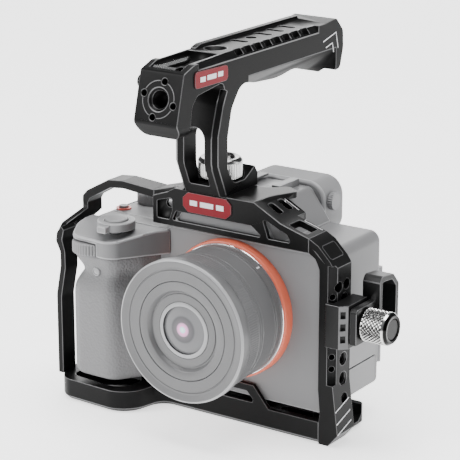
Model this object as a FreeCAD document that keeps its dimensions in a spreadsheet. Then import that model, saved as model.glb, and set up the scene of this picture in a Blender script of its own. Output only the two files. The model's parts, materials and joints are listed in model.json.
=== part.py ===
import FreeCAD, Part
import math
import os
import re
from types import SimpleNamespace

# A mirrorless camera in a machined aluminium cage, with a top handle and a cable clamp.
# Millimetres. X points to the camera's port side, Y to its rear and Z up.  The origin is on
# the cage's underside, straight below the lens axis and at the middle of the cage's depth.

doc = FreeCAD.newDocument("camera_rig")
sheet = doc.addObject("Spreadsheet::Sheet", "Sizes")

SIZES = [
    ("cage_front", -17.5, "front face of the cage, along Y"),
    ("cage_lip", -15.3, "rear face of the cage's front lips, along Y"),
    ("cage_rear", 15, "rear face of the cage's base, along Y"),
    ("cage_left", -87.5, "outer face of the cage beside the grip, along X"),
    ("base_right", 48, "joint between the base and the side plate, along X"),
    ("base_height", 10.5, "height of the base plate"),
    ("base_floor", 5, "floor of the pocket in the base plate"),
    ("side_inner", 51, "inner face of the side plate, along X"),
    ("side_outer", 55, "outer face of the side plate, along X"),
    ("side_rear", -2.7, "rear face of the side plate, along Y"),
    ("side_bevel", 3.1, "bevel along the side plate's front outer edge"),
    ("shoulder", 88.6, "underside of the cage's top beam"),
    ("deck_under", 103.9, "underside of the top plate"),
    ("deck", 107, "top face of the top plate"),
    ("arm_joint", -45, "joint between the top plate and the grip arm, along X"),
    ("arch_joint", 41.8, "joint between the top plate and the side plate, along X"),
    ("quarter_inch", 2.55, "wall radius of a tapped 1/4 inch hole"),
    ("three_eighths", 4, "wall radius of a tapped 3/8 inch hole"),
    ("screw_y", 6.8, "tripod screw, along Y"),
    ("handle_mid", -13.5, "middle of the handle, along X"),
    ("handle_wide", 23, "width of the handle"),
    ("leg_gap", 11, "width of the opening between the handle's legs"),
    ("handle_bore_y", -5, "axis of the handle's clamping screw, along Y"),
    ("knob_radius", 10.2, "radius of the handle's knob"),
    ("knob_under", 112.2, "underside of the handle's knob"),
    ("knob_top", 121.6, "top of the handle's knob"),
    ("head_tilt", 14.5, "lean of the handle's front face, in degrees"),
    ("clamp_knob_radius", 7.7, "radius of the cable clamp's knob"),
    ("clamp_axis_y", -8.6, "axis of the clamp's knob, along Y"),
    ("clamp_axis_z", 58.2, "axis of the clamp's knob, along Z"),
    ("body_under", 13.7, "underside of the camera"),
    ("body_left", -79.5, "left end of the camera, along X"),
    ("body_right", 50, "right end of the camera, along X"),
    ("body_front", -15, "front face of the camera, along Y"),
    ("body_split", -6, "seam between the front and the rear shell, along Y"),
    ("body_back", 31, "rear face of the rear shell, along Y"),
    ("body_top", 88, "camera's shoulders"),
    ("hump_top", 103.3, "top of the viewfinder hump"),
    ("shell", 2.5, "wall of the camera's shells"),
    ("axis_height", 55, "lens axis"),
    ("ring_front", -20, "front face of the mount ring, along Y"),
    ("ring_radius", 32.3, "outer radius of the mount ring"),
    ("throat", 23, "radius of the lens mount's throat"),
    ("zoom_front", -38.5, "front face of the zoom ring, along Y"),
    ("barrel_front", -51, "front face of the focus ring, along Y"),
    ("lens_front", -56, "front face of the lens, along Y"),
    ("barrel_radius", 30.9, "outer radius of the lens barrel"),
    ("rim_radius", 33, "outer radius of the lens rim"),
    ("gap", 0.3, "running clearance beside a moving piece"),
    ("travel_well", 1.5, "depth of the well under a push button"),
]

for row, (alias, value, note) in enumerate(SIZES, start=1):
    sheet.set(f"A{row}", note)
    sheet.set(f"B{row}", str(value))
    sheet.setAlias(f"B{row}", alias)
doc.recompute()

s = SimpleNamespace(**{alias: float(sheet.get(alias)) for alias, value, note in SIZES})

V = FreeCAD.Vector
AXES = {"X": V(1, 0, 0), "Y": V(0, 1, 0), "Z": V(0, 0, 1)}
PARTS = []


# ---------------------------------------------------------------- drawing helpers

def cell(formula):
    """A formula of aliases and numbers, with each alias written as its sheet cell."""
    return re.sub(r"[a-z_]+[a-z]", lambda found: "Sizes." + found.group(0), str(formula))


def bind(thing, sizes):
    """Bind properties of an object to formulas of the sheet's cells."""
    for name, formula in sizes.items():
        thing.setExpression(name, cell(formula))
    return thing


def rounded(outline):
    """Edges of a closed outline of (x, y, corner radius) points, as lines and tangent arcs."""
    count = len(outline)
    starts, ends, arcs = [], [], []
    for i, (x, y, radius) in enumerate(outline):
        here = V(x, y, 0)
        before = V(*outline[i - 1][:2], 0) - here
        after = V(*outline[(i + 1) % count][:2], 0) - here
        before.normalize()
        after.normalize()
        if radius == 0:
            starts.append(here)
            ends.append(here)
            arcs.append(None)
            continue
        half = before.getAngle(after) / 2
        reach = radius / math.tan(half)
        middle = (before + after).normalize() * (radius / math.sin(half) - radius)
        starts.append(here + before * reach)
        ends.append(here + after * reach)
        arcs.append(Part.Arc(starts[-1], here + middle, ends[-1]))
    edges = []
    for i in range(count):
        if arcs[i]:
            edges.append(arcs[i])
        if ends[i].distanceToPoint(starts[(i + 1) % count]) > 1e-6:
            edges.append(Part.LineSegment(ends[i], starts[(i + 1) % count]))
    return edges


def prism(label, plane, outline, start, length):
    """A body padded from a rounded outline: plane XY, XZ or YZ, from start along its normal."""
    body = doc.addObject("PartDesign::Body", label)
    body.Label = label
    sketch = body.newObject("Sketcher::SketchObject", label + "_outline")
    origin = [item for item in body.Origin.OriginFeatures if item.Role == plane + "_Plane"][0]
    sketch.AttachmentSupport = [(origin, "")]
    sketch.MapMode = "FlatFace"
    sketch.addGeometry(rounded(outline), False)
    pad = body.newObject("PartDesign::Pad", label + "_pad")
    pad.Profile = sketch
    pad.Reversed = plane == "XZ"
    bind(pad, {"Length": length})
    normal = {"XY": "z", "XZ": "y", "YZ": "x"}[plane]
    bind(body, {"Placement.Base." + normal: start})
    return body


def box(label, x, y, z):
    """A box between two formulas along each axis."""
    block = doc.addObject("Part::Box", label)
    block.Label = label
    for name, place, (low, high) in zip(("Length", "Width", "Height"), "xyz", (x, y, z)):
        bind(block, {name: f"({high}) - ({low})", "Placement.Base." + place: low})
    return block


def turned(primitive, axis):
    """Turn a primitive's own Z axis to a named axis or to a direction."""
    direction = AXES[axis] if isinstance(axis, str) else axis
    primitive.Placement.Rotation = FreeCAD.Rotation(V(0, 0, 1), direction)
    return primitive


def disc(label, axis, centre, radius, length):
    """A cylinder along an axis, from its start centre."""
    rod = doc.addObject("Part::Cylinder", label)
    rod.Label = label
    turned(rod, axis)
    bind(rod, {"Radius": radius, "Height": length})
    for place, formula in zip("xyz", centre):
        bind(rod, {"Placement.Base." + place: formula})
    return rod


def cone(label, axis, centre, low, high, length):
    """A cone frustum along an axis, from its start centre."""
    frustum = doc.addObject("Part::Cone", label)
    frustum.Label = label
    turned(frustum, axis)
    bind(frustum, {"Radius1": low, "Radius2": high, "Height": length})
    for place, formula in zip("xyz", centre):
        bind(frustum, {"Placement.Base." + place: formula})
    return frustum


def bar(label, sides, start, direction, radius, length):
    """A bar of regular section from a start along a direction, one corner level with its start."""
    stick = doc.addObject("Part::Prism", label)
    stick.Label = label
    stick.Polygon = sides
    turned(stick, direction)
    bind(stick, {"Circumradius": radius, "Height": length})
    for place, formula in zip("xyz", start):
        bind(stick, {"Placement.Base." + place: formula})
    return stick


def square_bar(label, start, end, half):
    """A square bar between two points, for cutting a chamfer along the line between them."""
    way = V(*end) - V(*start)
    return bar(label, 4, start, way, half, way.Length)


def joined(label, pieces):
    """One solid fused from several."""
    fusion = doc.addObject("Part::MultiFuse", label)
    fusion.Label = label
    fusion.Shapes = pieces
    fusion.Refine = True
    return fusion


def group(label, pieces):
    """Several separate solids kept together."""
    compound = doc.addObject("Part::Compound", label)
    compound.Label = label
    compound.Links = pieces
    return compound


def cut(label, blank, tools):
    """A blank with every tool cut out of it."""
    if len(tools) > 1:
        tool = joined(label + "_tools", tools)
        tool.Refine = False
    else:
        tool = tools[0]
    result = doc.addObject("Part::Cut", label)
    result.Label = label
    result.Base = blank
    result.Tool = tool
    return result


def edge_break(label, kind, blank, amount, wanted):
    """Fillet or chamfer the edges of a blank whose ends satisfy a test."""
    doc.recompute()
    numbers = [
        number for number, edge in enumerate(blank.Shape.Edges, start=1)
        if all(wanted(vertex.Point) for vertex in edge.Vertexes)
    ]
    result = doc.addObject("Part::" + kind, label)
    result.Label = label
    result.Base = blank
    result.Edges = [(number, amount, amount) for number in numbers]
    return result


def ring(label, axis, centre, inner, outer, length):
    """A plain ring along an axis."""
    return cut(label, disc(label + "_blank", axis, centre, outer, length),
               [disc(label + "_hole", axis, centre, inner, length)])


def keep(part):
    """Enter a finished sub-part for checking and export."""
    PARTS.append(part)
    return part


# ---------------------------------------------------------------- cage

def cage_base():
    plan = prism("base_plan", "XY", [
        (s.base_right, s.cage_front, 0), (s.base_right, s.side_rear, 0),
        (53, s.side_rear, 0), (53, s.cage_rear, 3),
        (-84, s.cage_rear, 8), (s.cage_left, 2, 8),
        (s.cage_left, -29, 5), (-81, -38, 9), (-43, -40, 14), (-38, s.cage_front, 7),
    ], 0, "base_height")
    eased = edge_break("base_eased", "Chamfer", plan, 1.8,
                       lambda point: point.z < 0.1 and point.x < 47.9)
    bump = prism("base_bump", "XZ", [
        (-23, s.base_height - 2, 0), (-13, 20.4, 1), (13, 20.4, 1), (23, s.base_height - 2, 0),
    ], "cage_front", "cage_lip - cage_front")
    window = prism("base_window", "XZ", [
        (-14, 12, 1), (-9.5, 17, 1), (9.5, 17, 1), (14, 12, 1),
    ], "cage_front - 1", 4)
    pocket = prism("base_pocket", "XY", [
        (-78, -13.5, 3), (44, -13.5, 3), (44, 11.5, 3), (-78, 11.5, 3),
    ], "base_floor", 8)
    grip_pocket = prism("base_grip_pocket", "XY", [
        (-80, -32, 4), (-50, -35, 9), (-46, -10, 3), (-80, -10, 3),
    ], "base_floor", 8)
    boss = disc("base_boss", "Z", (0, "screw_y", 3), 7.4, "base_height - 3")
    rests = [
        box(f"base_rest_{side}", (x - 7, x + 7), (-9, 9), (1, "base_height"))
        for side, x in (("left", -50), ("right", 33))
    ]
    notch = prism("base_notch", "YZ", [
        (s.side_rear - 1, 14, 0), (s.side_rear - 1, 6, 0), (1, 3, 0), (9.5, 3, 0), (12.4, 6, 0),
        (12.4, 14, 0),
    ], 45.5, 10)
    holes = [
        disc("base_screw_way", "Z", (0, "screw_y", -1), 3.4, 14),
        disc("base_screw_seat", "Z", (0, "screw_y", -1), 5.6, 5.2),
    ]
    holes += [
        disc(f"base_tapped_{i}", "Z", (x, 0, -1), "quarter_inch", 8)
        for i, x in enumerate((-25, 20), start=1)
    ]
    floor = cut("base_hollowed", eased, [pocket, grip_pocket, notch])
    whole = joined("base_whole", [floor, bump, boss] + rests)
    return keep(cut("cage_base", whole, [window] + holes))


def rubber_pads():
    pads = [
        box(f"base_pad_{side}", (x - 6.5, x + 6.5), (-8, 8), ("base_height", "body_under"))
        for side, x in (("left", -50), ("right", 33))
    ]
    rim = ring("base_pad_middle", "Z", (0, "screw_y", "base_height"), 4.2, 7.2,
               "body_under - base_height")
    fronts = [
        box("front_pad_base", (-10, 10), ("cage_lip", "body_front"), (17.6, 20.2)),
        box("front_pad_side", (47.6, 49.8), ("cage_lip", "body_front"), (30, 78)),
    ]
    return keep(group("rubber_pads", pads + [rim] + fronts))


def tripod_screw():
    shank = disc("tripod_shank", "Z", (0, "screw_y", 1.2), 3.1, 19)
    head = disc("tripod_head", "Z", (0, "screw_y", 1.0), 5.3, 3)
    slot = box("tripod_slot", (-7, 7), ("screw_y - 0.8", "screw_y + 0.8"), (0, 2.4))
    return keep(cut("tripod_screw", joined("tripod_whole", [head, shank]), [slot]))


def cage_side_plate():
    wall = prism("side_wall", "XZ", [
        (s.base_right, 0, 0), (53, 0, 0), (58, 6, 0), (s.side_outer, 29, 0),
        (s.side_outer, 83.3, 0), (52.9, 86.4, 0), (46.7, 92.7, 0), (s.arch_joint, 95.3, 0),
        (s.arch_joint, 91.6, 0), (45.6, 89.6, 0), (50, 85, 0), (s.side_inner, 82, 0),
        (s.side_inner, s.base_height, 0), (s.base_right, s.base_height, 0),
    ], "cage_front", "side_rear - cage_front")
    bevel = prism("side_bevel_tool", "XY", [
        (s.side_outer - s.side_bevel - 1, s.cage_front - 1, 0),
        (s.side_outer + 1, s.cage_front - 1, 0),
        (s.side_outer + 1, s.cage_front + s.side_bevel + 1, 0),
    ], 29, 55.4)
    lip = prism("side_lip", "XZ", [
        (s.base_right, 0.5, 0), (52, 0.5, 0), (52, 26, 0), (51.6, 82, 0), (50, 85.5, 0),
        (45, 90, 0), (s.arch_joint, 91.6, 0), (s.arch_joint, s.shoulder, 0), (45.2, 86.5, 2),
        (47.4, 82, 4), (47.4, 26, 0), (48.5, 14, 0), (s.base_right, s.base_height, 0),
    ], "cage_front", "cage_lip - cage_front")
    whole = joined("side_whole", [wall, lip])
    side_mid = "(cage_front + side_bevel + side_rear) / 2"
    holes = [
        disc(f"side_tapped_{i + 1}", "X", (45, side_mid, f"clamp_axis_z - 9.3 * {4 - i}"),
             "quarter_inch", 16)
        for i in range(6)
    ]
    holes += [
        cone(f"side_sink_{i + 1}", "X", ("side_outer - 0.6", side_mid,
                                         f"clamp_axis_z - 9.3 * {4 - i}"),
             "quarter_inch", "quarter_inch + 0.8", 0.8)
        for i in range(1, 6)
    ]
    holes += [
        disc(f"side_round_{i + 1}", "X", (45, y, 74.2), 2.5, 16)
        for i, y in enumerate((-12.8, -6.6))
    ]
    slant = V(1, -1, 0)
    holes += [
        disc(f"side_bevel_hole_{i + 1}", slant,
             ("side_outer - side_bevel / 2 - 2", "cage_front + side_bevel / 2 + 2",
              f"36.5 + 5.6 * {i}"), 1.35, 5)
        for i in range(7)
    ]
    return keep(cut("cage_side_plate", whole, [bevel] + holes))


def cage_top_plate():
    panel = prism("top_panel", "XZ", [
        (-42.5, s.shoulder, 0), (s.arch_joint, s.shoulder, 0), (s.arch_joint, 95.3, 0),
        (27, 99.6, 0), (13, s.deck, 0), (-30, s.deck, 0), (-34, 104.6, 0), (-42.5, 101.6, 0),
    ], "cage_front", "cage_lip - cage_front")
    strip_window = prism("top_strip_window", "XZ", [
        (-31.5, 91.6, 0.6), (17.5, 91.6, 0.6), (11.5, 96, 0.6), (-29.5, 96, 0.6),
    ], "cage_front - 1", 4)
    corner_window = prism("top_corner_window", "XZ", [
        (20.5, 91.6, 0.8), (32.5, 91.6, 0.8), (30.5, 95, 0.8), (17.5, 100.4, 0.8),
    ], "cage_front - 1", 4)
    left_window = prism("top_left_window", "XZ", [
        (-40, 91.6, 0.8), (-33.3, 91.6, 0.8), (-31.7, 96, 0.8), (-31.7, 102, 0.8),
        (-40, 99.6, 0.8),
    ], "cage_front - 1", 4)
    front = cut("top_front", panel, [strip_window, corner_window, left_window])
    roof = prism("top_roof", "XY", [
        (-30, s.cage_front, 0), (1.5, s.cage_front, 0), (12, s.cage_front + 1.4, 0),
        (14, -2.6, 0), (19.5, 9, 2), (12, 14, 2.5), (4, 6.5, 3), (-30, 6.5, 3),
    ], "deck_under", "deck - deck_under")
    block = prism("top_block", "XZ", [
        (-30, 96.2, 0), (10, 96.2, 0), (14.5, 102, 0), (13, s.deck, 0), (-30, s.deck, 0),
    ], "cage_front", 2.2)
    slope = prism("top_slope", "XZ", [
        (13, s.deck, 0), (27, 99.6, 0), (s.arch_joint, 95.3, 0), (s.arch_joint, 92, 0),
        (27, 96.2, 0), (12, 103.9, 0),
    ], "cage_front", "side_rear - cage_front")
    shelf = prism("top_shelf", "XZ", [
        (13, s.deck, 0), (27, 99.6, 0), (27, 96.2, 0), (12, 103.9, 0),
    ], "cage_front", "4 - cage_front")
    truss = prism("top_truss_gap", "XY", [
        (29.5, -14.6, 1), (39, -14.6, 1), (39, -5.2, 1), (29.5, -5.2, 1),
    ], 88, 16)
    slope_slots = [
        prism(f"top_slot_{i + 1}", "XY", [
            (16.2, y - 1.9, 1.2), (22.6, y - 1.9, 1.2), (22.6, y + 1.9, 1.2), (16.2, y + 1.9, 1.2),
        ], 92, 18) for i, y in enumerate((-9.6, -1.6))
    ]
    rail = prism("top_left_rail", "XZ", [
        (s.arm_joint, 98.8, 0), (-33, 102.2, 0), (-29, s.deck_under, 0), (-29, s.deck, 0),
        (-33.5, 106, 0), (s.arm_joint, 102.8, 0),
    ], -13.2, 11)
    web = prism("top_left_web", "XZ", [
        (-42.5, 90.8, 0), (-33.5, 90.8, 0), (-29.8, 98, 0), (-29.8, 104.5, 0),
        (-42.5, 100.4, 0),
    ], -15.3, 1.8)
    web_hole = disc("top_web_hole", "Y", (-34.2, -18, 98.6), 1.9, 6)
    bore = disc("top_handle_bore", "Z", ("handle_mid", "handle_bore_y", 100), "three_eighths", 9)
    pins = [
        disc(f"top_pin_hole_{i + 1}", "Z", (f"handle_mid + {x}", "handle_bore_y", 100), 1.6, 9)
        for i, x in enumerate((-7.5, 7.5))
    ]
    whole = joined("top_whole", [front, roof, block, slope, shelf, rail, web])
    return keep(cut("cage_top_plate", whole, slope_slots + [truss, web_hole, bore] + pins))


def cage_grip_arm():
    strip = prism("arm_strip", "XZ", [
        (s.cage_left, s.base_height, 0), (s.cage_left, 50, 12), (-84.8, 64, 8), (-84.8, 71, 6),
        (-87.3, 76.2, 2), (-86.6, 80.4, 2), (-83.9, 83.5, 0), (-82.4, 81.8, 0),
        (-83.6, 77, 3), (-81.9, 71.5, 6), (-81.9, 63, 8), (-84.6, 49, 12),
        (-84.6, s.base_height, 0),
    ], -33.5, 9.5)
    link = prism("arm_link", "YZ", [
        (-33.5, 75, 0), (-33.5, 79.5, 3), (-29, 84, 3), (-13.2, 87.6, 0), (-13.2, 92.6, 0),
        (-2.2, 92.6, 0), (-2.2, 84.6, 3), (-15, 81.2, 4), (-24, 76, 0),
    ], -86.9, 3.1)
    arch = prism("arm_arch", "XZ", [
        (-86.9, 84.6, 0), (-86.9, 93.3, 2), (-84.3, 96.2, 2), (-71.4, 103.4, 2), (-63, 104.2, 2),
        (s.arm_joint, 102.8, 0), (s.arm_joint, 98.8, 0), (-63, 100.4, 2), (-70.2, 99.6, 2),
        (-82.4, 92.6, 2), (-83.8, 90.3, 1), (-83.8, 84.6, 0),
    ], -13.2, 11)
    slot = box("arm_slot", (0, 11), (-9.9, -5.3), (0, 16))
    lean = math.atan2(103.4 - 96.2, 84.3 - 71.4)
    slot.Placement.Rotation = FreeCAD.Rotation(V(0, 1, 0), -math.degrees(lean))
    bind(slot, {"Placement.Base.x": -82.8 + 8 * math.sin(lean),
                "Placement.Base.z": 94.6 - 8 * math.cos(lean)})
    return keep(cut("cage_grip_arm", joined("arm_whole", [strip, link, arch]), [slot]))


def cage_plaque():
    return keep(prism("cage_plaque", "XZ", [
        (-25.2, 99.6, 0), (-22.4, 96.9, 0), (-1.6, 96.9, 0), (1.2, 99.6, 0), (1.2, 103.6, 0),
        (-1.6, 106.3, 0), (-22.4, 106.3, 0), (-25.2, 103.6, 0),
    ], "cage_front - 0.6", 0.6))


# ---------------------------------------------------------------- top handle

def handle_body():
    low, high = s.handle_mid - s.handle_wide / 2, s.handle_mid + s.handle_wide / 2
    side = prism("handle_side", "YZ", [
        (-48.88, 168.6, 1.5), (-54.6, 146.5, 2.5), (-50, 139.6, 2.5), (-44.5, 139.6, 1.5),
        (-43, 153, 5), (-39, 157.4, 3), (-16.2, 160.2, 3), (-21.6, 149.5, 10),
        (-25.6, 136, 14), (-25.6, 122, 10), (-19, s.deck, 1), (8.5, s.deck, 0), (8.5, 113, 0),
        (6, 116.6, 0), (2.6, 114.4, 0), (-2, 112, 0), (-10.5, 112, 3), (-15.8, 119, 8),
        (-15.8, 134, 14), (-12.4, 147, 10), (-4.5, 157.2, 8), (12, 153.2, 30), (34, 151.2, 30),
        (44, 154.2, 14), (71, 147.2, 2.5), (79.9, 148.4, 3), (82.8, 158, 8), (82.4, 166.6, 4),
        (76, 173.2, 3), (66, 172, 6), (-14, 172, 20), (-41, 171.4, 6),
    ], "handle_mid - handle_wide / 2", "handle_wide")
    arch = prism("handle_arch", "XZ", [
        (s.handle_mid - s.leg_gap / 2, 112, 1), (s.handle_mid + s.leg_gap / 2, 112, 1),
        (s.handle_mid + s.leg_gap / 2, 139, 5.4), (s.handle_mid - s.leg_gap / 2, 139, 5.4),
    ], -40, 38)
    relief = disc("handle_knob_relief", "Z", ("handle_mid", "handle_bore_y", "knob_under - 0.2"),
                  "knob_radius + 0.5", 12)
    top_bevels = [
        prism(f"handle_top_bevel_{name}", "XZ", [
            (edge + inward * 3.9, 173.5, 0), (edge - inward, 173.5, 0), (edge - inward, 167.6, 0),
            (edge, 168.6, 0),
        ], -38, 98) for name, edge, inward in (("port", high, -1), ("grip", low, 1))
    ]
    palm_bevels = [
        prism(f"handle_palm_bevel_{name}", "XZ", [
            (edge - inward, 160.4, 0), (edge, 159, 0), (edge + inward * 6.5, 150.4, 0),
            (edge + inward * 6.5, 145, 0), (edge - inward, 145, 0),
        ], 1, 75) for name, edge, inward in (("port", high, -1), ("grip", low, 1))
    ]
    jaw_bevels = [
        prism(f"handle_jaw_bevel_{name}", "XZ", [
            (edge - inward, 137, 0), (edge - inward, 146, 0), (edge, 146, 0),
            (edge, 139.6, 5.6), (edge + inward * 6.4, 139.6, 0), (edge + inward * 6.4, 137, 0),
        ], -58, 16) for name, edge, inward in (("port", high, -1), ("grip", low, 1))
    ]
    shin = [(-18.2, 156.2), (-21.6, 149.5), (-25.6, 136), (-25.6, 122), (-19, 107)]
    shin_bevels = [
        square_bar(f"handle_shin_bevel_{name}_{i + 1}", (edge, *shin[i]), (edge, *shin[i + 1]), 2.2)
        for name, edge in (("port", high), ("grip", low)) for i in range(4)
    ]
    notches = [
        box(f"handle_notch_{i + 1}", (high - 3.5, high - 0.8), (f"-7.4 + 7.9 * {i}",
            f"-2.2 + 7.9 * {i}"), (167.4, 175)) for i in range(8)
    ]
    slots = [
        prism(f"handle_slot_{i + 1}", "XY", [
            (s.handle_mid - 4.5, y - 1.7, 1.6), (s.handle_mid + 4.5, y - 1.7, 1.6),
            (s.handle_mid + 4.5, y + 1.7, 1.6), (s.handle_mid - 4.5, y + 1.7, 1.6),
        ], 167.5, 8) for i, y in enumerate((10.5, 30, 40, 50))
    ]
    tray = box("handle_tray", (low + 3, high - 3.5), (-46.4, -18), (167, 176))
    well = box("handle_well", (low + 8, high - 3.5), (-44, -30), (161, 170))
    holes = [
        disc("handle_top_bore", "Z", ("handle_mid", -8.5, 158), "quarter_inch", 16),
        cone("handle_top_sink", "Z", ("handle_mid", -8.5, 169.4), 2.6, 5.4, 2.7),
        disc("handle_rail_bore", "Z", ("handle_mid", 20, 162), "quarter_inch", 12),
        disc("handle_screw_way", "Z", ("handle_mid", "handle_bore_y", 100), 4.4, 14),
        disc("handle_side_bore", "X", ("handle_mid - handle_wide / 2 - 1", -46, 162.6), 1.6, 7),
    ]
    holes += [
        disc(f"handle_pin_bore_{i + 1}", "Z", (f"handle_mid + {x}", "handle_bore_y", 106), 1.6, 4.2)
        for i, x in enumerate((-7.5, 7.5))
    ]
    tilt = math.radians(s.head_tilt)
    inward = V(0, math.cos(tilt), -math.sin(tilt))
    across = V(0, math.sin(tilt), math.cos(tilt))
    face = V(s.handle_mid, -51.9, 157)
    holes.append(disc("handle_front_bore", inward, face - inward * 2, "three_eighths", 10))
    holes.append(cone("handle_front_sink", inward, face - inward * 1, 6.3, "three_eighths", 2.3))
    for i in range(4):
        turn = math.radians(14 + 90 * i)
        spot = face + V(8.2 * math.sin(turn), 0, 0) + across * (8.2 * math.cos(turn))
        holes.append(disc(f"handle_locating_{i + 1}", inward, spot - inward * 2, 1.5, 6))
    legs = cut("handle_legs", cut("handle_arched", side, [arch]), [relief])
    shaped = cut("handle_shaped", legs, top_bevels + palm_bevels + jaw_bevels + shin_bevels)
    pocketed = cut("handle_pocketed", cut("handle_trayed", shaped, [tray]), [well])
    body = cut("handle_drilled", cut("handle_notched", pocketed, notches + slots), holes)
    rib = prism("handle_rib", "YZ", [
        (-16, 170, 0), (-16, 172.6, 0), (-12, 173.8, 0), (68, 173.8, 1), (70.5, 170, 0),
    ], "handle_mid - handle_wide / 2 + 3", 3)
    return keep(joined("handle_body", [body, rib]))


def handle_plaque():
    return keep(prism("handle_plaque", "YZ", [
        (-41.4, 160.8, 2), (-16.4, 160.4, 2), (-16.4, 167.4, 2), (-41.4, 168.3, 2),
    ], "handle_mid + handle_wide / 2", 0.6))


def handle_side_screw():
    head = disc("side_screw_head", "X", ("handle_mid - handle_wide / 2 - 2.4", -46, 162.6),
                3.2, 2.4)
    dome = edge_break("side_screw_dome", "Fillet", head, 1.3, lambda point: point.x < -27)
    shank = disc("side_screw_shank", "X", ("handle_mid - handle_wide / 2 - 1", -46, 162.6), 1.6, 6)
    socket = disc("side_screw_socket", "X", ("handle_mid - handle_wide / 2 - 3", -46, 162.6),
                  1.4, 2)
    return keep(cut("handle_side_screw", joined("side_screw_whole", [dome, shank]), [socket]))


def handle_pins():
    return keep(group("handle_pins", [
        disc(f"handle_pin_{i + 1}", "Z", (f"handle_mid + {x}", "handle_bore_y", 104.2), 1.5, 5.8)
        for i, x in enumerate((-7.5, 7.5))
    ]))


def handle_knob():
    rim = disc("knob_rim", "Z", ("handle_mid", "handle_bore_y", "knob_under"), "knob_radius",
               "knob_top - knob_under")
    eased = edge_break("knob_eased", "Chamfer", rim, 0.9, lambda point: point.z > 120)
    shank = disc("knob_shank", "Z", ("handle_mid", "handle_bore_y", 104.2),
                 "three_eighths - gap", 9)
    hollow = disc("knob_hollow", "Z", ("handle_mid", "handle_bore_y", "knob_top - 1.4"), 6.6, 3)
    return keep(cut("handle_knob", joined("knob_whole", [eased, shank]), [hollow]))


def hex_key():
    left = s.handle_mid - s.handle_wide / 2
    long_arm = bar("key_long_arm", 6, (left + 5.2, -44.3, 168.5), "Y", 1.45, 24)
    short_arm = bar("key_short_arm", 6, (left + 4, -44.3, 168.5), "X", 1.45, 12)
    return keep(joined("hex_key", [long_arm, short_arm]))


# ---------------------------------------------------------------- cable clamp

def clamp_base():
    plan = prism("clamp_plan", "XY", [
        (52.4, -20.6, 0.5), (59.6, -20.6, 0), (62.6, -17.6, 0), (62.6, -1.6, 0.5),
        (55.2, -1.6, 0), (55.2, -17.7, 0), (52.4, -17.7, 0),
    ], 48.2, 20)
    windows = []
    for i in range(3):
        windows.append(box(f"clamp_window_{i + 1}", (60, 64), (-21, -18.3),
                           (f"51.2 + 5.6 * {i}", f"54.4 + 5.6 * {i}")))
    way = disc("clamp_base_way", "X", (50, "clamp_axis_y", "clamp_axis_z"), 2.9, 16)
    return keep(cut("clamp_base", plan, windows + [way]))


def clamp_slider():
    block = prism("slider_block", "YZ", [
        (-17, 50, 1), (-17, 66.6, 2), (0, 66.6, 0), (0, 50, 0),
    ], 62.9, 3.4)
    frame = prism("slider_frame", "YZ", [
        (-0.4, 47.5, 0), (12.5, 47.5, 3), (16.4, 51, 3), (16.4, 71, 2), (11.5, 76.4, 2),
        (1.4, 77.6, 2), (-0.4, 74.8, 0),
    ], 59.4, 9)
    opening = prism("slider_opening", "YZ", [
        (2, 50.2, 2), (11.6, 50.2, 2), (14, 52.6, 1), (14, 70.2, 1), (10.4, 74, 1), (2, 74.8, 1),
    ], 55, 16)
    way = disc("slider_way", "X", (50, "clamp_axis_y", "clamp_axis_z"), 2.9, 20)
    return keep(cut("clamp_slider", joined("slider_whole", [block, frame]), [opening, way]))


def clamp_knob():
    grip = disc("clamp_knob_grip", "X", (66.6, "clamp_axis_y", "clamp_axis_z"),
                "clamp_knob_radius", 13.4)
    eased = edge_break("clamp_knob_eased", "Chamfer", grip, 1.1, lambda point: point.x > 66)
    shank = disc("clamp_knob_shank", "X", (52.2, "clamp_axis_y", "clamp_axis_z"),
                 "quarter_inch - gap", 16)
    seat = disc("clamp_knob_seat", "X", (79, "clamp_axis_y", "clamp_axis_z"), 4.9, 3)
    return keep(cut("clamp_knob", joined("clamp_knob_whole", [eased, shank]), [seat]))


def clamp_knob_cap():
    return keep(disc("clamp_knob_cap", "X", (79, "clamp_axis_y", "clamp_axis_z"), 4.8, 0.6))


# ---------------------------------------------------------------- camera body

# Push buttons: name, X, Y on the deck or Z on the rear face, radius, height above the surface.
DECK_BUTTONS = [("record_button", -72.5, 0, 2.2, 1.8), ("custom_button", -46, -1.6, 2.6, 1.6)]
REAR_BUTTONS = [
    ("menu_button", 35, 83, 2.4, 1.8), ("focus_button", -46, 79, 3, 1.8),
    ("review_button", -66, 27, 2.6, 1.8), ("select_button", -57, 46, 3.9, 2.2),
    ("joystick", -47, 65, 3.4, 3.8),
]
BUTTON_SUNK = 0.6

def shell_outline(inset):
    """The body's front view, drawn in by a wall's thickness."""
    left, right = s.body_left + inset, s.body_right - inset
    low, high = s.body_under + inset, s.body_top - inset
    return [(left, low, 4), (right, low, 4), (right, high, 5), (-34, high, 0),
            (-37, high - 2, 0), (left + 2, high - 2, 4), (left, high - 12, 4)]


def front_shell():
    blank = prism("front_shell_blank", "XZ", shell_outline(0), "body_front",
                  "body_split - body_front")
    hollow = prism("front_shell_hollow", "XZ", shell_outline(s.shell), "body_front + shell", 20)
    throat = disc("front_shell_throat", "Y", (0, -20, "axis_height"), "throat + 2", 20)
    socket = disc("front_shell_release_way", "Y", (-34, -20, 33), 4.4, 10)
    return keep(cut("front_shell", blank, [hollow, throat, socket]))


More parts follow.
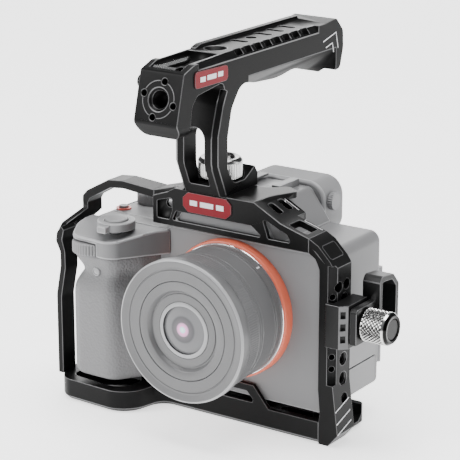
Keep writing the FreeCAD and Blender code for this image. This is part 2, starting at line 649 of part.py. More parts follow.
def rear_shell():
    blank = prism("rear_shell_blank", "XZ", shell_outline(0), "body_split",
                  "body_back - body_split")
    hollow = prism("rear_shell_hollow", "XZ", shell_outline(s.shell), "body_split - 1",
                   "body_back - body_split + 1 - shell")
    boss = disc("rear_shell_boss", "Z", (0, "screw_y", "body_under + 1"), 8, 12)
    bore = disc("rear_shell_bore", "Z", (0, "screw_y", 10), 3.15, 14)
    whole = joined("rear_shell_whole", [cut("rear_shell_hollowed", blank, [hollow]), boss])
    wells = [
        disc("well_" + label, "Z", (x, y, "body_top - 2 - travel_well"), f"{radius} + gap", 4)
        for label, x, y, radius, height in DECK_BUTTONS
    ]
    wells += [
        disc("well_" + label, "Y", (x, "body_back - travel_well", z), f"{radius} + gap", 4)
        for label, x, z, radius, height in REAR_BUTTONS
    ]
    return keep(cut("rear_shell", whole, [bore] + wells))


def hump():
    front = prism("hump_front", "XZ", [
        (-33, s.body_top, 0), (24, s.body_top, 0), (13, s.hump_top, 4), (-24, s.hump_top, 4),
    ], "body_front", "body_back - body_front")
    hollow = prism("hump_hollow", "XZ", [
        (-27, s.body_top - 1, 0), (18, s.body_top - 1, 0), (10.5, s.hump_top - 3, 2),
        (-21, s.hump_top - 3, 2),
    ], "body_front + 3", "body_back - body_front - 6")
    return keep(cut("viewfinder_hump", front, [hollow]))


def grip():
    block = prism("grip_block", "XY", [
        (s.body_left, s.body_front, 0), (s.body_left, -27, 7), (-74, -37.6, 8),
        (-52, -38.2, 9), (-43.5, -25, 8), (-40, s.body_front, 0),
    ], 14.5, 59.5)
    window = disc("grip_lamp_way", "Y", (-62, -41, 66), 2.3, 7.2)
    return keep(cut("grip", block, [window]))


def grip_top():
    plan = prism("grip_top_plan", "XY", [
        (s.body_left, s.body_front, 0), (s.body_left, -27, 7), (-74, -38.6, 8),
        (-51, -39.6, 9), (-42, -26, 8), (-34, s.body_front, 0),
    ], 74.1, 11.7)
    slant = prism("grip_top_slant", "YZ", [
        (-45, 82, 0), (-36, 82.8, 0), (-20, 86, 0), (-10, 90, 0), (-45, 90, 0),
    ], -90, 70)
    pocket = disc("grip_dial_pocket", "Z", (-66.5, -32.5, 74), 9.6, 6.4)
    shaft = disc("grip_button_way", "Z", (-56, -27.5, 80), 3.1, 10)
    return keep(cut("grip_top", plan, [slant, pocket, shaft]))


def front_dial():
    return keep(disc("front_dial", "Z", (-66.5, -32.5, 74.5), 9.2, 5.4))


def shutter_group():
    stem = disc("shutter_stem", "Z", (-56, -27.5, 81.5), 2.9, 7.5)
    cap = disc("shutter_cap", "Z", (-56, -27.5, 88.6), 5.2, 2.2)
    keep(joined("shutter_button", [stem, edge_break("shutter_eased", "Fillet", cap, 0.8,
                                                    lambda point: point.z > 90)]))
    band = ring("power_band", "Z", (-56, -27.5, 86.3), 5.6, 8.8, 3.9)
    lug = box("power_lug", (-58.5, -53.5), (-39.2, -35), (86.3, 89.4))
    keep(joined("power_lever", [band, lug]))


def button(label, axis, centre, radius, height):
    """A round push button, sunk a little into its surface and proud of it by its height."""
    place = "XYZ".index(axis)
    top = centre[place] + height - 0.2
    start = list(centre)
    start[place] -= BUTTON_SUNK
    stick = disc(label + "_blank", axis, start, radius, height + BUTTON_SUNK)
    eased = edge_break(label, "Fillet", stick, 0.4,
                       lambda point: getattr(point, axis.lower()) > top)
    return keep(eased)


def deck_controls():
    for label, x, y, radius, height in DECK_BUTTONS:
        button(label, "Z", (x, y, s.body_top - 2), radius, height)
    keep(ring("record_ring", "Z", (-72.5, 0, "body_top - 2"), 2.6, 3.6, 0.7))
    for label, x, y, radius, height in (("mode_dial", -45.5, 11, 8.6, 6.5),
                                        ("exposure_dial", -67, 16, 7.6, 5.6)):
        drum = disc(label + "_drum", "Z", (x, y, 86.3), radius, height)
        keep(edge_break(label, "Chamfer", drum, 0.6, lambda point: point.z > 88))


def rear_controls():
    for label, x, z, radius, height in REAR_BUTTONS:
        button(label, "Y", (x, s.body_back, z), radius, height)
    keep(ring("control_wheel", "Y", (-57, "body_back + gap", 46), 4.3, 10.5, 1.9))


def monitor():
    panel = prism("monitor_blank", "XZ", [
        (-34, 17.5, 2), (46, 17.5, 2), (46, 76, 2), (-34, 76, 2),
    ], "body_back + 0.4", 6.6)
    recess = prism("monitor_recess", "XZ", [
        (-30, 21.5, 1), (42, 21.5, 1), (42, 72, 1), (-30, 72, 1),
    ], "body_back + 6.2", 3)
    keep(cut("monitor_panel", panel, [recess]))
    keep(prism("monitor_glass", "XZ", [
        (-30, 21.5, 1), (42, 21.5, 1), (42, 72, 1), (-30, 72, 1),
    ], "body_back + 6.2", 0.6))
    knuckles = []
    for i, z in enumerate((24, 62)):
        pin = disc(f"hinge_pin_{i + 1}", "Z", (48, "body_back + 2.6", z), 1.8, 8)
        foot = box(f"hinge_foot_{i + 1}", (46.7, 49.3), ("body_back", "body_back + 2.6"),
                   (z, z + 8))
        knuckles.append(joined(f"hinge_knuckle_{i + 1}", [pin, foot]))
    keep(group("monitor_hinge", knuckles))


def viewfinder():
    cup = prism("eyecup_blank", "XZ", [
        (-25, 79, 7), (20, 79, 7), (20, 105.4, 9), (-25, 105.4, 9),
    ], "body_back", 17.5)
    window = prism("eyecup_window", "XZ", [
        (-15, 85.5, 2), (10, 85.5, 2), (10, 100, 2), (-15, 100, 2),
    ], "body_back + 5", 14)
    keep(cut("eyecup", cup, [window]))
    keep(prism("eyepiece_lens", "XZ", [
        (-14.9, 85.6, 2), (9.9, 85.6, 2), (9.9, 99.9, 2), (-14.9, 99.9, 2),
    ], "body_back + 5", 2))
    keep(disc("diopter_dial", "X", (20.2, "body_back + 6", 96), 4.2, 2.6))


def hot_shoe():
    floor = box("shoe_floor", (-13.5, 7.5), (12, 29), ("hump_top", "hump_top + 0.8"))
    rails = [
        box(f"shoe_rail_{i + 1}", (x, x + 4.2), (12, 29), ("hump_top + 0.8", "hump_top + 3.4"))
        for i, x in enumerate((-13.5, 3.3))
    ]
    channel = box("shoe_channel", (-12.3, 6.3), (11, 30), ("hump_top + 0.8", "hump_top + 2.3"))
    keep(cut("hot_shoe", joined("shoe_whole", [floor] + rails), [channel]))


def door(label, face, thickness, low, high, corner):
    """A cover on an end of the camera, with its hinge barrel along the rear edge."""
    panel = prism(label + "_panel", "YZ", [
        (2, low, corner), (26, low, 0), (26, high, 0), (2, high, corner),
    ], face, thickness)
    barrel = disc(label + "_barrel", "Z", (f"{face} + {thickness} / 2", 26.4, low),
                  f"{thickness} / 2", high - low)
    keep(joined(label, [panel, barrel]))


def doors():
    door("card_door", "body_left - 1.3", 1.2, 20, 62, 2)
    door("port_door_1", "body_right + 0.1", 1.3, 17, 29.6, 1.5)
    door("port_door_2", "body_right + 0.1", 1.3, 30.2, 44, 1.5)


def lamp():
    keep(disc("focus_lamp", "Y", (-62, -35.4, 66), 2.1, 1.6))


def insides():
    keep(box("battery", (-75, -37.6), (-3, 19.7), (18.5, 68.7)))
    keep(box("image_sensor", (-20, 20), (2, 5), (41, 69)))
    keep(box("shutter_unit", (-26, 26), (-5, 1.5), (30, 80)))


# ---------------------------------------------------------------- lens

def lens():
    height = "axis_height"
    keep(ring("mount_ring", "Y", (0, "ring_front", height), "throat", "ring_radius",
              "body_front - ring_front"))
    button_rod = disc("lens_release", "Y", (-34, -18, 33), 4, 5.6)
    keep(button_rod)
    rear = ring("barrel_rear_blank", "Y", (0, "zoom_front + 13", height), 22, "barrel_radius",
                "ring_front - zoom_front - 13")
    neck = ring("barrel_neck", "Y", (0, "ring_front - 0.1", height), 20, "throat - 0.1",
                "body_front - ring_front + 4")
    tube = ring("barrel_tube", "Y", (0, "barrel_front + 0.4", height), 22, 27,
                "zoom_front + 13 - barrel_front")
    keep(joined("lens_barrel", [rear, neck, tube]))
    keep(ring("zoom_ring", "Y", (0, "zoom_front + 0.2", height), "27 + gap",
              "barrel_radius", 12.5))
    keep(ring("focus_ring", "Y", (0, "barrel_front + gap", height), "27 + gap",
              "barrel_radius + 0.6", "zoom_front - barrel_front - 2 * gap"))
    rim = disc("lens_rim_blank", "Y", (0, "lens_front", height), "rim_radius",
               "barrel_front - lens_front")
    mouth = cone("lens_rim_mouth", "Y", (0, "lens_front - 0.01", height), 31, 27, 2.2)
    bore = disc("lens_rim_bore", "Y", (0, "lens_front - 1", height), 23, 8)
    keep(cut("lens_rim", rim, [mouth, bore]))
    keep(ring("lens_baffle", "Y", (0, "lens_front + 2.4", height), 13, 21.9, 4))
    dome = doc.addObject("Part::Sphere", "front_dome")
    bind(dome, {"Radius": 22, "Placement.Base.y": "lens_front + 25", "Placement.Base.z": height})
    rod = disc("front_rod", "Y", (0, "lens_front", height), 12.9, 10)
    glass = doc.addObject("Part::Common", "front_element")
    glass.Label = "front_element"
    glass.Base = dome
    glass.Tool = rod
    keep(glass)
    keep(disc("rear_element", "Y", (0, "ring_front + 2", height), 19.9, 4))


# ---------------------------------------------------------------- build, check and write

def build():
    cage_base()
    rubber_pads()
    tripod_screw()
    cage_side_plate()
    cage_top_plate()
    cage_grip_arm()
    cage_plaque()
    handle_body()
    handle_plaque()
    handle_side_screw()
    handle_pins()
    handle_knob()
    hex_key()
    clamp_base()
    clamp_slider()
    clamp_knob()
    clamp_knob_cap()
    front_shell()
    rear_shell()
    hump()
    grip()
    grip_top()
    front_dial()
    shutter_group()
    deck_controls()
    rear_controls()
    monitor()
    viewfinder()
    hot_shoe()
    doors()
    lamp()
    insides()
    lens()


def write():
    """Stop on anything that failed to build, then write one STEP file per sub-part."""
    doc.recompute()
    failed = [item.Label for item in doc.Objects if {"Invalid", "Error"} & set(item.State)]
    if failed:
        raise RuntimeError(f"not built: {failed}")
    for part in PARTS:
        shape = part.Shape
        if shape.isNull() or not shape.isValid() or not shape.Solids:
            raise RuntimeError(f"bad shape: {part.Label}")
    os.makedirs("parts", exist_ok=True)
    for part in PARTS:
        part.Shape.exportStep(f"parts/{part.Label}.step")
    print(len(PARTS), "sub-parts")


build()
write()
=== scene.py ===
import json
import math

import bmesh
import bpy
from mathutils import Matrix, Vector


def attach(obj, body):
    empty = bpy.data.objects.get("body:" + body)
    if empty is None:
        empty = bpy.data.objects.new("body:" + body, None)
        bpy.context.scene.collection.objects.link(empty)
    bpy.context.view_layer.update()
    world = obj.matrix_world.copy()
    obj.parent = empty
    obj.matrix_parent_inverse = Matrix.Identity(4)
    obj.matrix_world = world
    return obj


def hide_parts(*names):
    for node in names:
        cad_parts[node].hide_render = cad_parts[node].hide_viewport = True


# The looks of a camera in a machined cage. Drawn in the frame's own axes: X to the camera's port
# side, Y to its rear, Z up. Sizes below are in millimetres and turned to metres by MM.

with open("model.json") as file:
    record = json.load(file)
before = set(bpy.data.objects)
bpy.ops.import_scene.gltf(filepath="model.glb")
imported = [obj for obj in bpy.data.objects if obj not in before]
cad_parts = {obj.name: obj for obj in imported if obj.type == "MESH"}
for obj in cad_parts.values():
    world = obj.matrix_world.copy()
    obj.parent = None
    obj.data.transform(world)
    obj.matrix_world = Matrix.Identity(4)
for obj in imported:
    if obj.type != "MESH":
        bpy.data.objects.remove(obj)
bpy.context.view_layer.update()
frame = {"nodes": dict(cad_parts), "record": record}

MM = 0.001
RECORD = frame["record"]
BODY_OF = {node: body for body, nodes in RECORD["behaviour"]["bodies"].items() for node in nodes}
SLOT_OF = {entry["node"]: entry["material_slot"] for entry in RECORD["subparts"]}

ON_AXIS = 0.001  # a radius that closes a turned profile without a zero-size face
LENS_AXIS = (0, 0, 55)
HANDLE_KNOB_AXIS = (-13.5, -5, 0)
CLAMP_KNOB_AXIS = (0, -8.6, 58.2)
HEAD_LEAN = math.radians(14.5)
HEAD_FACE = Vector((-13.5, -51.9, 157))
HEAD_INWARD = Vector((0, math.cos(HEAD_LEAN), -math.sin(HEAD_LEAN)))
HEAD_UP = Vector((0, math.sin(HEAD_LEAN), math.cos(HEAD_LEAN)))
QUARTER_INCH = (2.55, 1.27)  # bore radius and pitch of the 1/4 inch tripod thread
THREE_EIGHTHS_INCH = (4.0, 1.5875)  # the same for the 3/8 inch thread


# ---------------------------------------------------------------- camera, floor and lights

def camera():
    """A long lens that looks down on the front and the port side."""
    eye = bpy.data.cameras.new("camera")
    eye.lens = 155.8
    eye.sensor_width = 36
    stand = bpy.data.objects.new("camera", eye)
    right, up = Vector((0.8279, 0.5610, 0)), Vector((-0.1642, 0.2423, 0.9563))
    back = right.cross(up)
    turn = Matrix((right, up, back)).transposed().to_4x4()
    stand.matrix_world = Matrix.Translation((0.4785, -0.7232, 0.3531)) @ turn
    bpy.context.scene.collection.objects.link(stand)
    bpy.context.scene.camera = stand


def softbox(name, place, aim, size, power):
    """A rectangular area lamp, turned to face a point."""
    lamp = bpy.data.lights.new(name, "AREA")
    lamp.shape = "RECTANGLE"
    lamp.size, lamp.size_y = size
    lamp.energy = power
    stand = bpy.data.objects.new(name, lamp)
    place = Vector(place)
    turn = (Vector(aim) - place).to_track_quat("-Z", "Y").to_matrix().to_4x4()
    stand.matrix_world = Matrix.Translation(place) @ turn
    bpy.context.scene.collection.objects.link(stand)


def studio():
    """Four softboxes, a dim sky and a white paper floor with a glow of its own."""
    world = bpy.data.worlds.new("studio")
    world.use_nodes = True
    world.node_tree.nodes["Background"].inputs["Color"].default_value = (0.95, 0.97, 1.0, 1)
    world.node_tree.nodes["Background"].inputs["Strength"].default_value = 0.22
    bpy.context.scene.world = world
    middle = (0, 0, 0.1)
    softbox("overhead", (0.0, 0.1, 1.5), middle, (1.3, 1.1), 44)
    softbox("key", (-0.75, -0.85, 0.75), (0, 0, 0.09), (0.5, 0.8), 17)
    softbox("rim", (0.9, 0.8, 0.7), middle, (0.5, 0.9), 3)
    softbox("back", (-0.95, 1.45, 0.62), middle, (1.3, 0.7), 16)
    half, level = 5, -0.0003
    corners = [(-half, -half, level), (half, -half, level), (half, half, level), (-half, half, level)]
    floor = bpy.data.meshes.new("floor")
    floor.from_pydata(corners, [], [(0, 1, 2, 3)])
    ground = bpy.data.objects.new("floor", floor)
    bpy.context.scene.collection.objects.link(ground)
    paper = bpy.data.materials.new("floor_paper")
    paper.use_nodes = True
    white = paper.node_tree.nodes["Principled BSDF"]
    white.inputs["Base Color"].default_value = (0.9, 0.9, 0.9, 1)
    white.inputs["Roughness"].default_value = 0.9
    white.inputs["Emission Color"].default_value = (1, 1, 1, 1)
    white.inputs["Emission Strength"].default_value = 1.5
    floor.materials.append(paper)


# ---------------------------------------------------------------- materials

def surface(name, dark, light, rough, metal=0.0, patch=40, grain=2500, bump=0.12, depth=0.1,
            spread=0.06, voronoi=False, stretch=(1, 1, 1), coat=0.0, specular=0.5):
    """Colour and roughness drift in soft patches, and fine grain stands up as bump."""
    skin = bpy.data.materials.new(name)
    skin.use_nodes = True
    nodes, links = skin.node_tree.nodes, skin.node_tree.links
    shader = nodes["Principled BSDF"]
    shader.inputs["Metallic"].default_value = metal
    shader.inputs["Coat Weight"].default_value = coat
    shader.inputs["Coat Roughness"].default_value = 0.12
    shader.inputs["Specular IOR Level"].default_value = specular
    place = nodes.new("ShaderNodeTexCoord")
    stretched = nodes.new("ShaderNodeMapping")
    stretched.inputs["Scale"].default_value = stretch
    links.new(place.outputs["Object"], stretched.inputs["Vector"])
    drift = nodes.new("ShaderNodeTexNoise")
    drift.inputs["Scale"].default_value = patch
    drift.inputs["Detail"].default_value = 4
    links.new(stretched.outputs["Vector"], drift.inputs["Vector"])
    tone = nodes.new("ShaderNodeMix")
    tone.data_type = "RGBA"
    tone.inputs[6].default_value = (*dark, 1)
    tone.inputs[7].default_value = (*light, 1)
    links.new(drift.outputs["Fac"], tone.inputs["Factor"])
    links.new(tone.outputs[2], shader.inputs["Base Color"])
    sheen = nodes.new("ShaderNodeMapRange")
    sheen.inputs["To Min"].default_value = max(0.02, rough - spread)
    sheen.inputs["To Max"].default_value = rough + spread
    links.new(drift.outputs["Fac"], sheen.inputs["Value"])
    links.new(sheen.outputs["Result"], shader.inputs["Roughness"])
    fine = nodes.new("ShaderNodeTexVoronoi" if voronoi else "ShaderNodeTexNoise")
    fine.inputs["Scale"].default_value = grain
    links.new(stretched.outputs["Vector"], fine.inputs["Vector"])
    relief = nodes.new("ShaderNodeBump")
    relief.inputs["Strength"].default_value = bump
    relief.inputs["Distance"].default_value = depth * MM
    links.new(fine.outputs["Distance" if voronoi else "Fac"], relief.inputs["Height"])
    links.new(relief.outputs["Normal"], shader.inputs["Normal"])
    return skin


def from_axis(skin, axis, centre):
    """A shader socket that holds the distance, in metres, from an axis through a centre in mm."""
    nodes, links = skin.node_tree.nodes, skin.node_tree.links
    place = nodes.new("ShaderNodeTexCoord")
    centred = nodes.new("ShaderNodeVectorMath")
    centred.operation = "SUBTRACT"
    centred.inputs[1].default_value = Vector(centre) * MM
    links.new(place.outputs["Object"], centred.inputs[0])
    flat = nodes.new("ShaderNodeVectorMath")
    flat.operation = "MULTIPLY"
    flat.inputs[1].default_value = [0 if name == axis else 1 for name in "XYZ"]
    links.new(centred.outputs["Vector"], flat.inputs[0])
    reach = nodes.new("ShaderNodeVectorMath")
    reach.operation = "LENGTH"
    links.new(flat.outputs["Vector"], reach.inputs[0])
    return reach.outputs["Value"]


def grey(level):
    """A neutral colour with a trace of blue."""
    return (level, level, level * 1.02)


LOOKS = {
    "cage_metal": surface("anodised_black", grey(0.003), grey(0.006), 0.35, bump=0.25, specular=0.10),
    "handle_metal": surface("anodised_handle", grey(0.003), grey(0.006), 0.36, bump=0.25, specular=0.07),
    "clamp_metal": surface("anodised_clamp", grey(0.005), grey(0.009), 0.32, bump=0.25, specular=0.16),
    "steel": surface("polished_steel", (0.55, 0.55, 0.545), (0.72, 0.72, 0.71), 0.17, 1.0,
                     patch=90, bump=0.05, spread=0.04),
    "rubber": surface("pad_rubber", (0.075, 0.018, 0.016), (0.11, 0.03, 0.026), 0.7, bump=0.4),
    "eyecup_rubber": surface("pale_rubber", grey(0.18), grey(0.22), 0.6, bump=0.4),
    "red_plaque": surface("red_anodised", (0.15, 0.003, 0.008), (0.21, 0.005, 0.013), 0.36, specular=0.15,
                          bump=0.2, patch=120),
    "grip_rubber": surface("grained_grip", grey(0.13), grey(0.165), 0.55, grain=900, bump=0.75,
                           depth=0.25, voronoi=True, patch=25),
    "body_shell": surface("pale_shell", grey(0.145), grey(0.178), 0.46, bump=0.28, patch=18),
    "controls": surface("pale_controls", grey(0.18), grey(0.22), 0.42, bump=0.2),
    "red_ring": surface("record_red", (0.62, 0.10, 0.08), (0.72, 0.15, 0.12), 0.35),
    "monitor_case": surface("monitor_grey", grey(0.18), grey(0.22), 0.45, bump=0.3),
    "screen_glass": surface("dark_glass", grey(0.03), grey(0.045), 0.12, coat=0.2, bump=0.0, specular=0.2),
    "shoe_metal": surface("brushed_shoe", grey(0.16), grey(0.22), 0.42, 0.5, stretch=(1, 12, 12)),
    "battery_case": surface("battery_black", grey(0.03), grey(0.05), 0.5),
    "orange_ring": surface("orange_anodised", (0.62, 0.115, 0.060), (0.70, 0.15, 0.085), 0.36,
                           patch=60),
    "lens_body": surface("lens_grey", grey(0.09), grey(0.12), 0.33, bump=0.15),
    "lens_rings": surface("lens_ring_grey", grey(0.095), grey(0.12), 0.36, bump=0.2),
    "lens_glass": surface("coated_glass", (0.20, 0.20, 0.22), (0.27, 0.25, 0.28), 0.12, coat=0.25,
                          bump=0.0, patch=160, specular=0.25),
}
# Colours for broken edges and thin lines, lighter than the faces beside them. On the black metal the
# lighter colour is partly worn bare metal and partly a painted edge highlight; the pale one is a painted
# highlight on the camera's covers and lens rings, and also the focus lamp window's colour; the steel one
# is a bright metal ring.
EDGES = {
    "black": surface("worn_and_highlight_edge", grey(0.06), grey(0.13), 0.32, 0.5, patch=200, bump=0.2),
    "pale": surface("pale_edge", grey(0.26), grey(0.33), 0.36, bump=0.1),
    "steel": surface("bright_edge", grey(0.80), grey(0.88), 0.12, 1.0, bump=0.0),
}
PAINT = surface("white_marking", grey(0.72), grey(0.82), 0.5, bump=0.2, patch=300)


# ---------------------------------------------------------------- pieces

def piece(name, mesh, node, materials, stands_for=()):
    """Put a mesh into the scene with the given materials, on the body of a CAD node."""
    thing = bpy.data.objects.new(name, mesh)
    bpy.context.scene.collection.objects.link(thing)
    for skin in materials:
        mesh.materials.append(skin)
    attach(thing, BODY_OF[node])
    if stands_for:
        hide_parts(*stands_for)
    return thing


def edge_broken(node, width, edge="black", segments=2, bright=None):
    """A CAD node with its sharp outer edges broken by a width in mm.

    Faces that look along the bright direction take the lighter edge colour too, a painted highlight on
    that bevel.
    """
    sharp = math.radians(28)
    mesh = bpy.data.meshes.new(node + "_finished")
    work = bmesh.new()
    work.from_mesh(frame["nodes"][node].data)
    bmesh.ops.remove_doubles(work, verts=work.verts, dist=0.002 * MM)
    bmesh.ops.dissolve_limit(work, angle_limit=math.radians(0.4), verts=work.verts,
                             edges=work.edges)
    weight = work.edges.layers.float.new("bevel_weight_edge")
    for line in work.edges:
        if len(line.link_faces) != 2 or not line.is_convex:
            continue
        if line.calc_face_angle() > sharp:
            line[weight] = 1
    for face in work.faces:
        face.smooth = True
        face.material_index = 1 if bright and face.normal.dot(bright) > 0.995 else 0
    work.to_mesh(mesh)
    work.free()
    if "custom_normal" in mesh.attributes:
        mesh.attributes.remove(mesh.attributes["custom_normal"])
    thing = piece(node + "_finished", mesh, node,
                  [LOOKS[SLOT_OF[node]], EDGES[edge]], [node])
    bevel = thing.modifiers.new("edges", "BEVEL")
    bevel.limit_method = "WEIGHT"
    bevel.offset_type = "OFFSET"
    bevel.width = width * MM
    bevel.segments = segments
    bevel.material = 1
    bevel.harden_normals = True
    bevel.use_clamp_overlap = False
    return thing


def drawn(name, verts, faces, node, materials, stands_for=(), smooth=35):
    """A piece from points in millimetres, smooth but for edges sharper than an angle."""
    mesh = bpy.data.meshes.new(name)
    mesh.from_pydata([Vector(point) * MM for point in verts], [], faces)
    work = bmesh.new()
    work.from_mesh(mesh)
    bmesh.ops.recalc_face_normals(work, faces=work.faces)
    work.to_mesh(mesh)
    work.free()
    mesh.shade_smooth()
    mesh.set_sharp_from_angle(angle=math.radians(smooth))
    return piece(name, mesh, node, materials, stands_for)


def on_axis(axis, centre, along, radius, angle):
    """A point at a height and radius about an axis through a centre."""
    a, b = radius * math.cos(angle), radius * math.sin(angle)
    x, y, z = centre
    return {"X": (x + along, y + a, z + b), "Y": (x + a, y + along, z + b),
            "Z": (x + a, y + b, z + along)}[axis]


def turned(name, node, axis, centre, profile, materials, stands_for=(), around=120, cut=None):
    """A closed (along, radius) profile turned about an axis; cut(angle, along) lowers the skin."""
    verts, faces = [], []
    rows = len(profile)
    for i in range(around):
        angle = 2 * math.pi * i / around
        for along, radius in profile:
            less = cut(angle, along) if cut and radius > 0 else 0
            verts.append(on_axis(axis, centre, along, radius - less, angle))
    for i in range(around):
        for j in range(rows):
            here, after = i * rows, (i + 1) % around * rows
            faces.append((here + j, after + j, after + (j + 1) % rows, here + (j + 1) % rows))
    return drawn(name, verts, faces, node, materials, stands_for)


def between(low, value, high):
    """Whether a value lies between two bounds, both included."""
    return low - 1e-6 <= value <= high + 1e-6


def ribbed(low, high, count, depth):
    """Straight ribs between two heights, for turned()."""
    def less(angle, along):
        if between(low, along, high):
            return depth * (0.5 - 0.5 * math.cos(angle * count))
        return 0
    return less


def steps(low, high, count):
    """Evenly spaced values from low to high, both included."""
    return [low + (high - low) * i / count for i in range(count + 1)]


def strip(name, node, points, width, normal, materials, height=0.08, closed=False):
    """A painted or milled line: a thin flat band along points, standing off its surface."""
    normal = Vector(normal).normalized()
    points = [Vector(point) for point in points]
    count = len(points)
    verts, faces = [], []
    for i, point in enumerate(points):
        before = points[i - 1] if i or closed else point
        after = points[(i + 1) % count] if i < count - 1 or closed else point
        across = (after - before).normalized().cross(normal) * width / 2
        for side in (-1, 1):
            for level in (-0.05, height):
                verts.append(point + across * side + normal * level)
    for i in range(count if closed else count - 1):
        a, b = 4 * i, 4 * ((i + 1) % count)
        for p, q in ((0, 1), (1, 3), (3, 2), (2, 0)):
            faces.append((a + p, a + q, b + q, b + p))
    if not closed:
        faces += [(0, 1, 3, 2), tuple(4 * (count - 1) + k for k in (0, 2, 3, 1))]
    return drawn(name, verts, faces, node, materials)


def thread(name, node, axis, centre, size, length):
    """The helical ridge of a tapped hole, from a (radius, pitch) size."""
    radius, pitch = size
    direction = Vector(axis).normalized()
    side = direction.orthogonal().normalized()
    other = direction.cross(side)
    per_turn = 28
    total = int(length / pitch * per_turn)
    verts, faces = [], []
    for i in range(total + 1):
        angle = 2 * math.pi * i / per_turn
        out = side * math.cos(angle) + other * math.sin(angle)
        middle = Vector(centre) + direction * (i * pitch / per_turn)
        for reach, shift in ((0.02, -0.36), (-0.42, 0), (0.02, 0.36)):
            verts.append(middle + out * (radius + reach) + direction * shift * pitch)
    for i in range(total):
        for j in range(3):
            a, b = 3 * i + j, 3 * i + (j + 1) % 3
            faces.append((a, b, b + 3, a + 3))
    faces += [(0, 1, 2), (3 * total + 2, 3 * total + 1, 3 * total)]
    return drawn(name, verts, faces, node, [LOOKS[SLOT_OF[node]]])


def rounded(outline, segments=6):
    """An outline of (x, y, radius) points with its corners as arcs."""
    count = len(outline)
    result = []
    for i, (x, y, radius) in enumerate(outline):
        here = Vector((x, y))
        before = (Vector(outline[i - 1][:2]) - here).normalized()
        after = (Vector(outline[(i + 1) % count][:2]) - here).normalized()
        if radius == 0:
            result.append((x, y))
            continue
        half = before.angle(after) / 2
        middle = here + (before + after).normalized() * radius / math.sin(half)
        start = here + before * radius / math.tan(half) - middle
        end = here + after * radius / math.tan(half) - middle
        sweep = start.angle_signed(end)
        for k in range(segments + 1):
            turn = Matrix.Rotation(-sweep * k / segments, 2)
            result.append(tuple(middle + turn @ start))
    return result


# ---------------------------------------------------------------- lens

def front_rim():
    """The rim with its filter groove, and the highlight along its front edge."""
    turned("lens_rim_turned", "lens_rim", "Y", LENS_AXIS, [
        (-51.0, 22.9), (-51.0, 32.6), (-51.4, 33.0), (-54.9, 33.0), (-55.6, 32.7), (-56.0, 32.1),
        (-56.0, 31.5), (-55.1, 29.6), (-55.1, 28.6), (-54.8, 28.4), (-54.8, 28.0), (-55.1, 27.8),
        (-55.1, 23.1), (-54.9, 22.9),
    ], [LOOKS["lens_body"]], ["lens_rim"], 180)
    turned("rim_highlight", "lens_rim", "Y", LENS_AXIS, [
        (-54.9, 33.0), (-55.6, 32.76), (-56.0, 32.1), (-55.9, 31.9), (-55.4, 32.4), (-54.9, 32.7),
    ], [EDGES["pale"]], (), 180)


def front_group():
    """The stepped baffle, a pale ring inside it that is a painted highlight, and the domed front element.
    """
    turned("lens_baffle_turned", "lens_baffle", "Y", LENS_AXIS, [
        (-49.6, 13.2), (-49.6, 21.8), (-54.8, 22.7), (-55.0, 22.5), (-55.0, 18.9), (-54.8, 18.6),
        (-52.9, 17.6), (-52.9, 16.9), (-53.2, 16.7), (-53.2, 13.2), (-52.9, 13.0), (-52.9, 12.2),
        (-51.0, 12.2), (-50.6, 13.0),
    ], [LOOKS["lens_body"]], ["lens_baffle"], 160)
    turned("inner_ring_painted_highlight", "lens_baffle", "Y", LENS_AXIS, [
        (-52.95, 12.1), (-52.95, 11.3), (-53.5, 11.1), (-53.5, 12.6), (-53.3, 12.9),
    ], [EDGES["pale"]], (), 120)
    glass = 11.2
    bulge = [(-52.4 - 1.3 * math.cos(math.pi / 2 * r / glass), r) for r in steps(glass, ON_AXIS, 14)]
    turned("front_glass", "front_element", "Y", LENS_AXIS, [(-49.5, ON_AXIS), (-49.5, glass)] + bulge,
           [glass_with_painted_glint()], ["front_element"], 96)


def barrel():
    """The fixed barrel and the bright line round its rear end."""
    turned("barrel_turned", "lens_barrel", "Y", LENS_AXIS, [
        (-50.6, 22), (-50.6, 27), (-25.5, 27), (-25.5, 30.6), (-25.2, 30.9), (-22.4, 30.9),
        (-22.2, 30.7), (-21.9, 30.7), (-21.7, 30.9), (-20.0, 30.9), (-20.0, 22.9), (-11, 22.9),
        (-11, 20), (-25, 20), (-25, 22),
    ], [LOOKS["lens_body"]], ["lens_barrel"], 160)
    turned("lens_bright_line", "lens_barrel", "Y", LENS_AXIS, [
        (-20.9, 30.8), (-20.9, 31.15), (-20.7, 31.3), (-20.3, 31.3), (-20.05, 31.0), (-20.05, 30.8),
    ], [EDGES["steel"]], (), 160)


def turning_rings():
    """The zoom ring with its grooves, and the finely ribbed focus ring."""
    ring_grey = [LOOKS["lens_rings"]]
    turned("zoom_ring_turned", "zoom_ring", "Y", LENS_AXIS, [
        (-38.3, 30.6), (-38.0, 30.9), (-36.7, 30.9), (-36.5, 30.75), (-36.2, 30.75), (-36.0, 30.9),
        (-27.6, 30.9), (-27.4, 30.75), (-27.1, 30.75), (-26.9, 30.9), (-26.1, 30.9), (-25.8, 30.6),
        (-25.8, 27.3), (-38.3, 27.3),
    ], ring_grey, ["zoom_ring"], 160)
    low, high = -47.6, -41.2
    turned("focus_ring_turned", "focus_ring", "Y", LENS_AXIS, [
        (-50.7, 31.0), (-50.2, 31.5), (-48.6, 31.5), (-48.4, 31.3), (-48.1, 31.3), (-47.9, 31.5)]
        + [(y, 31.5) for y in steps(low, high, 8)] + [
        (-40.9, 31.5), (-40.7, 31.3), (-40.4, 31.3), (-40.2, 31.5), (-39.1, 31.5), (-38.8, 31.0),
        (-38.8, 27.3), (-50.7, 27.3),
    ], ring_grey, ["focus_ring"], 720, ribbed(low, high, 180, 0.12))


